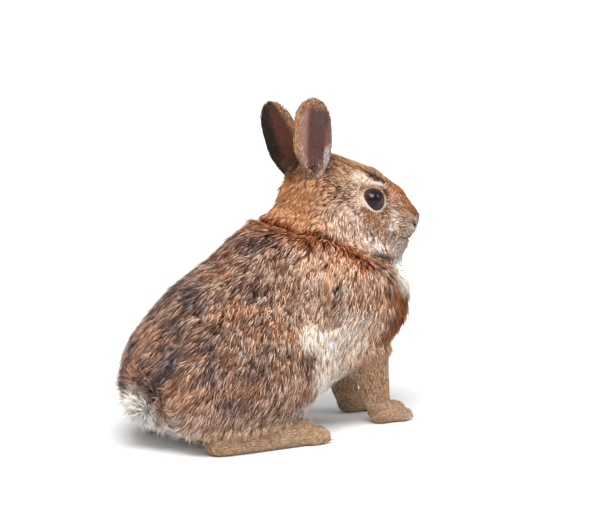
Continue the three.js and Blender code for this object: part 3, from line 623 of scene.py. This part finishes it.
def add(tree, kind, settings=(), **links):
    """Adds a shader node with its settings and links. A link's name is its socket's, with _ for a space."""
    made = tree.nodes.new(kind)
    for key, value in dict(settings).items():
        if hasattr(made, key):
            setattr(made, key, value)
        else:
            made.inputs[key].default_value = value
    for key, source in links.items():
        tree.links.new(source, made.inputs[key.replace("_", " ")])
    return made


def new_material(name, **settings):
    """A material with its Principled shader, whose sockets are set by name, with _ for a space."""
    material = bpy.data.materials.new(name)
    material.use_nodes = True
    shader = material.node_tree.nodes["Principled BSDF"]
    for key, value in settings.items():
        shader.inputs[key.replace("_", " ")].default_value = value
    return material, material.node_tree, shader


# Underfur and skin: a soft, dull ground under the longer hairs. Its colour holds painted shade, darker where the
# hair over it is long.
material, tree, shader = new_material("short_underfur", Roughness=0.85, Specular_IOR_Level=0.2)
colour = add(tree, "ShaderNodeVertexColor", {"layer_name": "Coat"})
place = add(tree, "ShaderNodeTexCoord")
fuzz = add(tree, "ShaderNodeTexNoise", {"Scale": 900.0, "Detail": 3.0}, Vector=place.outputs["Object"])
tint = add(tree, "ShaderNodeMapRange", {"To Min": 0.75, "To Max": 1.2}, Value=fuzz.outputs["Fac"])
tinted = add(tree, "ShaderNodeVectorMath", {"operation": "MULTIPLY"})
tree.links.new(colour.outputs["Color"], tinted.inputs[0])
tree.links.new(tint.outputs["Result"], tinted.inputs[1])
bump = add(tree, "ShaderNodeBump", {"Strength": 0.5, "Distance": 0.0004}, Height=fuzz.outputs["Fac"])
tree.links.new(tinted.outputs["Vector"], shader.inputs["Base Color"])
tree.links.new(bump.outputs["Normal"], shader.inputs["Normal"])
skin.data.materials.clear()
skin.data.materials.append(material)
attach(skin, "root")
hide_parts(*FLESH, "tail")

# ---- Hair ----
# Each tuft is a few hairs that cling together: a flat spindle with its root in the skin, bent over along the
# lie of the coat. Tufts gather in locks whose tips draw together, and a lock's tufts are much the same colour.
rng = np.random.default_rng(11)
skin.data.calc_loop_triangles()
corners = np.zeros(len(skin.data.loop_triangles) * 3, np.int32)
skin.data.loop_triangles.foreach_get("vertices", corners)
corners = corners.reshape(-1, 3)
loops = np.zeros(len(corners) * 3, np.int32)
skin.data.loop_triangles.foreach_get("loops", loops)
loops = loops.reshape(-1, 3)
unwrap = np.zeros(len(skin.data.loops) * 2, np.float32)
skin.data.uv_layers["OFBake"].data.foreach_get("uv", unwrap)
unwrap = unwrap.reshape(-1, 2)

areas = np.linalg.norm(
    np.cross(world[corners[:, 1]] - world[corners[:, 0]], world[corners[:, 2]] - world[corners[:, 0]]), axis=1
) / 2
bald = np.max(
    [smooth(10.2, 9.4, np.linalg.norm(in_head(world) - eye_seat(side), axis=1)) for side in SIDES.values()],
    axis=0,
)
bald = np.clip(bald + smooth(0.12, 0.32, lines) + (world[:, 2] < 0.8), 0, 1)
expected = areas * np.mean((plan[:, DENSITY] * (1 - bald))[corners], axis=1)
number = np.floor(expected + rng.random(len(expected))).astype(int)
face = np.repeat(np.arange(len(corners)), number)
share = rng.random((len(face), 2))
share = np.where((share.sum(axis=1) > 1)[:, None], 1 - share, share)
share = np.c_[1 - share.sum(axis=1), share]


def at_roots(values):
    return np.einsum("ij,ijk->ik", share, values[corners[face]])


root = at_roots(world)
out = unit(at_roots(normals))
rows = at_roots(plan)
way = at_roots(lie)
way = unit(way - out * np.sum(way * out, axis=1, keepdims=True))
root_uv = np.einsum("ij,ijk->ik", share, unwrap[loops[face]].astype(float))

TUFTS_IN_LOCK = 22
lock_seed = rng.choice(len(root), len(root) // TUFTS_IN_LOCK, replace=False)
tree_of_locks = KDTree(len(lock_seed))
for i, seed in enumerate(lock_seed):
    tree_of_locks.insert(root[seed], i)
tree_of_locks.balance()
lock = np.array([tree_of_locks.find(point)[1] for point in root])
centre = lock_seed[lock]
lock_luck = rng.random(len(lock_seed))
lock_turn = rng.normal(0, 0.2, len(lock_seed))
lock_lift = rng.normal(0, 3.5, len(lock_seed))

# One tuft in ten is of guard hairs, which are longer and finer.
guard = rng.random(len(root)) < 0.1
length = rows[:, LENGTH] * rng.uniform(0.75, 1.2, len(root)) * np.where(guard, 1.35, 1)
width = rows[:, WIDTH] * rng.uniform(0.65, 1.15, len(root)) * np.where(guard, 0.6, 1)
# A tuft is seen past its root, so it takes the colours of the coat where its own middle lies.
tree_of_skin = KDTree(len(world))
for i, point in enumerate(world):
    tree_of_skin.insert(point, i)
tree_of_skin.balance()
seen = [tree_of_skin.find(point)[1] for point in root + way * (0.6 * rows[:, LENGTH])[:, None]]
rows[:, : LIGHT_SHARE + 1] = plan[seen, : LIGHT_SHARE + 1]
luck = 0.3 * lock_luck[lock] + 0.7 * rng.random(len(root))
luck = np.argsort(np.argsort(luck)) / len(luck)
dark, light = luck < rows[:, DARK_SHARE], luck > 1 - rows[:, LIGHT_SHARE]
shag = smooth(2, 9, rows[:, LENGTH])
loose = 0.4 + 0.6 * shag
lift = rows[:, LIFT] + loose * (lock_lift[lock] + rng.normal(0, 3, len(root))) + 2.5 * light - 2 * dark
lift = np.radians(lift)
turned = loose * (lock_turn[lock] + rng.normal(0, 0.12, len(root)))
across = np.cross(out, way)
way = way * np.cos(turned)[:, None] + across * np.sin(turned)[:, None]
across = np.cross(out, way)
tip = root + (way * (length * np.cos(lift))[:, None] + out * (length * np.sin(lift))[:, None])
tip += 0.45 * (root[centre] - root) * shag[:, None]
mid = root + 0.48 * (tip - root) + out * (0.1 * length)[:, None]
tip[:, 2] = np.maximum(tip[:, 2], 0.3)
mid[:, 2] = np.maximum(mid[:, 2], 0.6)

hair_colour = np.where(dark[:, None], rows[:, DARK], np.where(light[:, None], rows[:, LIGHT], rows[:, BASE]))
warmth = 0.6 * rng.normal(0, 1, len(lock_seed))[lock] + 0.4 * rng.normal(0, 1, len(root))
hue = 1 + warmth[:, None] * (0.05, -0.02, -0.12)
hair_colour = hair_colour * rng.uniform(0.85, 1.15, (len(root), 1)) * hue
# Painted shade among the roots: a tuft's root is darkened, partly for the hair's own dark base band and partly as
# shade where tufts crowd. Pale hair is darkened less.
pallor = rows[:, BASE].mean(axis=1, keepdims=True)
root_colour_with_shade = hair_colour * (0.38 + 0.5 * pallor) + rows[:, DARK] * 0.15
tip_colour = hair_colour * np.where(dark, 0.85, 1.2)[:, None]

# A tuft starts a little inside the skin, and its patch on the skin's unwrap is as small as the tuft itself.
ROOT_DEPTH, PATCH_REACH = 0.6, 0.0015


def grow(name, chosen, material):
    """Makes one coat piece from the chosen tufts, each of three long sides that meet at the root and the tip."""
    i = np.where(chosen)[0]
    half = (across * (width / 2)[:, None])[i]
    rise = (out * (width * 0.3)[:, None])[i]
    points = np.stack([root[i] - out[i] * ROOT_DEPTH, mid[i] - half, mid[i] + half, mid[i] + rise, tip[i]], axis=1)
    faces = np.array([(0, 2, 1), (0, 3, 2), (0, 1, 3), (4, 1, 2), (4, 2, 3), (4, 3, 1)])
    indices = (np.arange(len(i)) * 5)[:, None, None] + faces
    patch = np.array([(-1, 0), (0, -1), (0, 1), (0.2, 0), (1, 0)]) * PATCH_REACH
    uv = (root_uv[i][:, None] + patch)[:, faces.ravel()]
    colours = np.stack([root_colour_with_shade[i], hair_colour[i], hair_colour[i], hair_colour[i], tip_colour[i]], axis=1)
    mesh = bpy.data.meshes.new(name)
    mesh.vertices.add(len(i) * 5)
    mesh.vertices.foreach_set("co", (points * MM).astype(np.float32).ravel())
    mesh.loops.add(len(i) * 18)
    mesh.loops.foreach_set("vertex_index", indices.astype(np.int32).ravel())
    mesh.polygons.add(len(i) * 6)
    mesh.polygons.foreach_set("loop_start", np.arange(0, len(i) * 18, 3, dtype=np.int32))
    mesh.polygons.foreach_set("use_smooth", np.ones(len(i) * 6, bool))
    mesh.update(calc_edges=True)
    layer = mesh.uv_layers.new(name="OFBake")
    layer.data.foreach_set("uv", uv.astype(np.float32).ravel())
    set_colours(mesh, colours.reshape(-1, 3))
    mesh.materials.append(material)
    piece = bpy.data.objects.new(name, mesh)
    bpy.context.scene.collection.objects.link(piece)
    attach(piece, "root")


# Banded guard hair: its colour is the tuft's own, with a soft gloss along the hair.
material, tree, shader = new_material("banded_guard_hair", Roughness=0.6, Specular_IOR_Level=0.35)
colour = add(tree, "ShaderNodeVertexColor", {"layer_name": "Coat"})
tree.links.new(colour.outputs["Color"], shader.inputs["Base Color"])

body_root, head_root = root - body_origin, in_head(root)
above_root = crease_height(body_root)
ear_root = np.max([on_ear(name, head_root)[3] for name in SIDES], axis=0) > 0.5
is_head = (above_root > 0) & ~ear_root
is_tail = (np.linalg.norm((body_root - TAIL_MIDDLE) / (1.2, 1, 1), axis=1) < 20) & (body_root[:, 0] < -88)
is_body = ~is_head & ~ear_root & ~is_tail
is_leg = is_body & (rows[:, LENGTH] < 6.5)
is_trunk = is_body & ~is_leg
is_chest = is_trunk & (body_root[:, 0] > 45)
is_back = is_trunk & ~is_chest & (body_root[:, 2] > 75)
is_flank = is_trunk & ~is_chest & ~is_back
is_face = is_head & (head_root[:, 0] > -20)
right = body_root[:, 1] < 0
grow("hair_ears", ear_root, material)
grow("hair_face_right", is_face & (head_root[:, 1] < 0), material)
grow("hair_face_left", is_face & (head_root[:, 1] >= 0), material)
grow("hair_nape", is_head & ~is_face, material)
grow("hair_tail", is_tail, material)
for name, chosen, slot in (
    ("legs", is_leg, "leg"),
    ("chest", is_chest, "coat"),
    ("back", is_back, "coat"),
    ("flank", is_flank, "coat"),
):
    grow(f"hair_{name}_right", chosen & right, material)
    grow(f"hair_{name}_left", chosen & ~right, material)

# ---- Eyes ----
# A cottontail's eye is large, dark brown and wet, and bulges a little at the cornea. It sits in its socket.
# The iris is dark brown round the edge and nearly black in the middle, under a clear film of tears.
material, tree, shader = new_material(
    "wet_dark_eye",
    Roughness=0.08,
    Specular_IOR_Level=0.28,
    Specular_Tint=(0.92, 0.7, 0.8, 1),
    Coat_Weight=0.22,
    Coat_Roughness=0.3,
)
for name, side in SIDES.items():
    facing = head_axes @ eye_frame(side)[2]
    middle = from_head(eye_seat(side))
    bpy.ops.mesh.primitive_uv_sphere_add(segments=48, ring_count=32, radius=EYE_RADIUS * MM)
    eye = bpy.context.object
    eye.name = eye.data.name = f"eyeball_{name}"
    bpy.ops.object.mode_set(mode="EDIT")
    cornea = bmesh.from_edit_mesh(eye.data)
    for vert in cornea.verts:
        if vert.co.z > EYE_RADIUS * 0.72 * MM:
            rise = (vert.co.z / MM - EYE_RADIUS * 0.72) / (EYE_RADIUS * 0.28)
            vert.co.z += 0.5 * MM * rise * rise * (3 - 2 * rise)
    bmesh.update_edit_mesh(eye.data)
    bpy.ops.object.mode_set(mode="OBJECT")
    turn_to = Vector(facing).to_track_quat("Z", "Y").to_matrix().to_4x4()
    eye.data.transform(Matrix.Translation(middle * MM) @ turn_to)
    bpy.ops.object.shade_smooth()
    depth_in_eye = (coordinates(eye.data) / MM - middle) @ facing
    ring = smooth(5.5, 7.6, depth_in_eye)[:, None]
    set_colours(eye.data, np.array(linear("#402319")) * (1 - ring) + np.array(linear("#0b0706")) * ring)
    eye.data.materials.append(material)
    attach(eye, "root")
    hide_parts(f"eye_{name}")
colour = add(tree, "ShaderNodeVertexColor", {"layer_name": "Coat"})
tree.links.new(colour.outputs["Color"], shader.inputs["Base Color"])

# ---- Lids ----
# Bare, dark rims of skin round each eye, drawn to a small corner in front and behind.
material, tree, shader = new_material("bare_lid_skin", Roughness=0.45, Specular_IOR_Level=0.5)
shader.inputs["Base Color"].default_value = (*linear("#2a1c19"), 1)
place = add(tree, "ShaderNodeTexCoord")
grain = add(tree, "ShaderNodeTexNoise", {"Scale": 1500.0, "Detail": 2.0}, Vector=place.outputs["Object"])
bump = add(tree, "ShaderNodeBump", {"Strength": 0.3, "Distance": 0.0002}, Height=grain.outputs["Fac"])
tree.links.new(bump.outputs["Normal"], shader.inputs["Normal"])
for name, side in SIDES.items():
    middle = from_head(eye_seat(side))
    bpy.ops.mesh.primitive_torus_add(
        major_segments=64, minor_segments=12, major_radius=7.1 * MM, minor_radius=0.62 * MM
    )
    lid = bpy.context.object
    lid.name = lid.data.name = f"lids_{name}"
    axes = Matrix(np.c_[[head_axes @ way_ for way_ in eye_frame(side)]].T.tolist()).to_4x4()
    points = coordinates(lid.data) / MM
    points[:, :2] *= (1.2, 1.07)
    seat = np.sqrt(np.maximum(EYE_RADIUS**2 - np.minimum(points[:, 0] ** 2 + points[:, 1] ** 2, 74), 1))
    points[:, 2] = points[:, 2] * 0.9 + seat - 0.1
    lid.data.vertices.foreach_set("co", (points * MM).astype(np.float32).ravel())
    lid.data.transform(Matrix.Translation(middle * MM) @ axes)
    bpy.ops.object.shade_smooth()
    lid.data.materials.append(material)
    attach(lid, "root")

# ---- Claws ----
# Each toe ends in one dark horn claw, a curved cone that leaves the fur and points forward and down. The ends of
# the claws are worn blunt by digging.
CLAW_LENGTH, CLAW_RADIUS = 9, 1.5
bpy.ops.mesh.primitive_cone_add(
    vertices=14,
    radius1=CLAW_RADIUS * MM,
    radius2=0.35 * MM,
    depth=CLAW_LENGTH * MM,
    rotation=(0, math.radians(90), 0),
)
claw = bpy.context.object
bpy.ops.object.transform_apply(location=False, rotation=True, scale=False)
bpy.ops.object.mode_set(mode="EDIT")
bpy.ops.mesh.select_all(action="SELECT")
bpy.ops.mesh.subdivide(number_cuts=5)
bpy.ops.object.mode_set(mode="OBJECT")
bend = claw.modifiers.new("bend", "SIMPLE_DEFORM")
bend.deform_method, bend.deform_axis, bend.angle = "BEND", "Y", math.radians(42)
bpy.ops.object.modifier_apply(modifier="bend")
bpy.ops.object.shade_smooth()
material, tree, shader = new_material("dark_horn", Roughness=0.35, Specular_IOR_Level=0.5)
place = add(tree, "ShaderNodeTexCoord")
grain = add(tree, "ShaderNodeTexNoise", {"Scale": 700.0, "Detail": 2.0}, Vector=place.outputs["Object"])
horn = add(tree, "ShaderNodeValToRGB", Fac=grain.outputs["Fac"])
horn.color_ramp.elements[0].color = (*linear("#2b211c"), 1)
horn.color_ramp.elements[1].color = (*linear("#5a463a"), 1)
tree.links.new(horn.outputs["Color"], shader.inputs["Base Color"])
claw.data.materials.append(material)
for name, side in SIDES.items():
    for limb, foot_front in (("hind", 30), ("fore", 114)):
        foot_side, gap, fall = TOES[limb]
        for number, toe in enumerate((-1.5, -0.5, 0.5, 1.5)):
            back = abs(toe + 0.5 * side) * fall if limb == "hind" else abs(toe) * fall
            tip_place = np.array([foot_front - back - 0.8, side * foot_side + toe * gap, 2.2]) + body_origin
            one = claw.copy()
            one.data = claw.data.copy()
            one.name = one.data.name = f"claw_{limb}_{name}_{number + 1}"
            bpy.context.scene.collection.objects.link(one)
            one.data.transform(Matrix.Translation((tip_place - (CLAW_LENGTH / 2, 0, 0)) * MM))
            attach(one, "root")
bpy.data.objects.remove(claw)

# ---- Whiskers ----
# Stiff single hairs, thick at the root and finely drawn out, that stand in rows on each side of the muzzle and
# sweep back.
bpy.ops.mesh.primitive_cone_add(
    vertices=6, radius1=0.13 * MM, radius2=0.03 * MM, depth=40 * MM, location=(0, 0, 20 * MM)
)
whisker = bpy.context.object
bpy.ops.object.transform_apply(location=True, rotation=False, scale=False)
bpy.ops.object.mode_set(mode="EDIT")
bpy.ops.mesh.select_all(action="SELECT")
bpy.ops.mesh.subdivide(number_cuts=7)
bpy.ops.object.mode_set(mode="OBJECT")
bend = whisker.modifiers.new("bend", "SIMPLE_DEFORM")
bend.deform_method, bend.deform_axis, bend.angle = "BEND", "Y", math.radians(-38)
bpy.ops.object.modifier_apply(modifier="bend")
material, tree, shader = new_material("pale_whisker", Roughness=0.4, Specular_IOR_Level=0.5)
shader.inputs["Base Color"].default_value = (*linear("#cfc3b6"), 1)
whisker.data.materials.append(material)
for name, side in SIDES.items():
    row = []
    for number in range(12):
        level, column = divmod(number, 4)
        root_place = from_head((41 - 3.2 * column, side * (9.2 + 0.7 * column), -5.5 - 2.6 * level))
        way_out = head_axes @ unit(np.array([0.35 - 0.28 * column, side * 0.9, 0.12 - 0.3 * level]))
        one = whisker.copy()
        one.data = whisker.data.copy()
        bpy.context.scene.collection.objects.link(one)
        curve_way = head_axes @ np.array([-1.0, 0, -0.3])
        curve_way = unit(curve_way - way_out * np.dot(curve_way, way_out))
        axes = Matrix(np.c_[curve_way, np.cross(way_out, curve_way), way_out].tolist()).to_4x4()
        size = (0.72, 0.85, 1.0, 0.8)[column] * (1 - 0.12 * level)
        one.data.transform(Matrix.Translation(root_place * MM) @ axes @ Matrix.Diagonal((1, 1, size, 1)))
        row.append(one)
    bpy.ops.object.select_all(action="DESELECT")
    for one in row:
        one.select_set(True)
    bpy.context.view_layer.objects.active = row[0]
    bpy.ops.object.join()
    row[0].name = row[0].data.name = f"whiskers_{name}"
    bpy.ops.object.shade_smooth()
    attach(row[0], "root")
bpy.data.objects.remove(whisker)

# ---- Floor, light and camera ----
# A pale, matt floor under a bright, even sky of softboxes, as in a daylight studio.
azimuth, elevation = math.radians(-33), math.radians(12)
CAMERA_DISTANCE = 5000
MM_PER_PIXEL, FRAME_WIDTH, FRAME_HEIGHT = 0.70, 612, 509
# Where the body's own origin shows in the frame, in pixels from its left and its top.
ORIGIN_COLUMN, ORIGIN_ROW = 262, 432
bpy.ops.mesh.primitive_plane_add(size=12, location=(0, 0, -0.0002))
floor = bpy.context.object
floor.name = "floor"
material, tree, shader = new_material("matt_white_floor", Roughness=0.9, Specular_IOR_Level=0.1)
shader.inputs["Base Color"].default_value = (0.9, 0.9, 0.9, 1)
floor.data.materials.append(material)

sky = bpy.data.worlds.new("studio")
sky.use_nodes = True
sky.node_tree.nodes["Background"].inputs["Color"].default_value = (0.95, 0.97, 1.0, 1)
sky.node_tree.nodes["Background"].inputs["Strength"].default_value = 0.6
bpy.context.scene.world = sky
bpy.context.scene.view_settings.view_transform = "Standard"

to_camera = np.array(
    [math.sin(azimuth) * math.cos(elevation), -math.cos(azimuth) * math.cos(elevation), math.sin(elevation)]
)
to_right = np.array([math.cos(azimuth), math.sin(azimuth), 0])
to_top = np.cross(to_camera, to_right)
aim = to_right * (FRAME_WIDTH / 2 - ORIGIN_COLUMN) * MM_PER_PIXEL
aim = aim + to_top * (ORIGIN_ROW - FRAME_HEIGHT / 2) * MM_PER_PIXEL
aim = (aim + body_origin) * MM


def softbox(name, turn, height, distance, size, strength, colour):
    """A square softbox aimed at the animal, turned to the camera's right and raised, both in degrees."""
    turn, height = azimuth + math.radians(turn), math.radians(height)
    way = Vector((math.sin(turn) * math.cos(height), -math.cos(turn) * math.cos(height), math.sin(height)))
    lamp = bpy.data.lights.new(name, "AREA")
    lamp.size, lamp.energy, lamp.color = size, strength * math.pi * size * size, colour
    holder = bpy.data.objects.new(name, lamp)
    bpy.context.scene.collection.objects.link(holder)
    holder.location = Vector(aim) + way * distance
    holder.rotation_euler = way.to_track_quat("Z", "Y").to_euler()


softbox("softbox_key", -4, 56, 6, 3.4, 11.2, (1.0, 0.98, 0.95))
softbox("softbox_front", 80, 35, 6, 3, 3.0, (1.0, 0.99, 0.97))

lens = bpy.data.cameras.new("camera")
lens.sensor_width = 36
lens.lens = 36 * CAMERA_DISTANCE / (FRAME_WIDTH * MM_PER_PIXEL)
lens.clip_end = 50
camera = bpy.data.objects.new("camera", lens)
bpy.context.scene.collection.objects.link(camera)
camera.location = Vector(aim + to_camera * CAMERA_DISTANCE * MM)
camera.rotation_euler = Matrix(np.c_[to_right, to_top, to_camera].tolist()).to_euler()
bpy.context.scene.camera = camera
